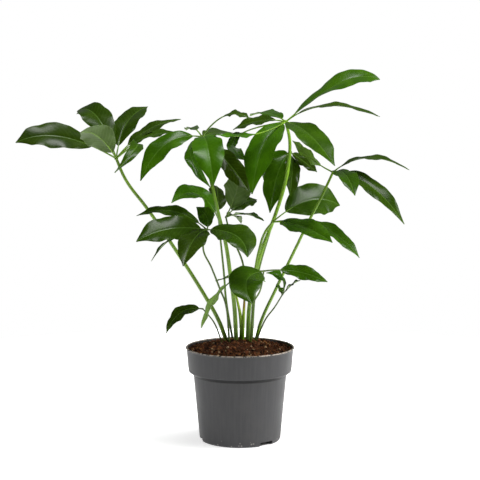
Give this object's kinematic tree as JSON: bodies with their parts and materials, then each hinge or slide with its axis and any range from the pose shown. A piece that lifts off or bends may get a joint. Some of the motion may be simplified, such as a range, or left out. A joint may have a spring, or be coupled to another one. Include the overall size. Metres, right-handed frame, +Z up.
{
  "type": "potted philodendron",
  "caption": "Potted philodendron: a plain round nursery pot of dark mix, with leafy stems that spread and carry waved leaflets.",
  "frame": {"origin": "centre of the pot's flat underside", "axes": "+Z up along the pot's axis, -Y towards the side the picture shows, +X to the right seen from there"},
  "size_m": [0.6009, 0.2612, 0.5794],
  "materials": {
    "pot_plastic": "dark grey, satin",
    "potting_mix": "loose, matte, dark brown",
    "leaf": "green, glossy above and paler below",
    "shoot": "yellow-green, satin"
  },
  "bodies": {
    "root": {"pot": "pot_plastic", "potting_mix": "potting_mix", "leaf_far_left": "leaf", "leaf_left_high": "leaf", "leaf_top_right": "leaf", "leaf_far_right": "leaf", "leaf_left_low": "leaf", "leaf_right_low": "leaf", "leaf_front_low": "leaf", "leaf_inner_right": "leaf", "leaf_centre": "leaf", "leaf_centre_back": "leaf", "leaf_small_right": "leaf", "leaf_small_left": "leaf", "new_shoot": "shoot"}
  },
  "joints": []
}
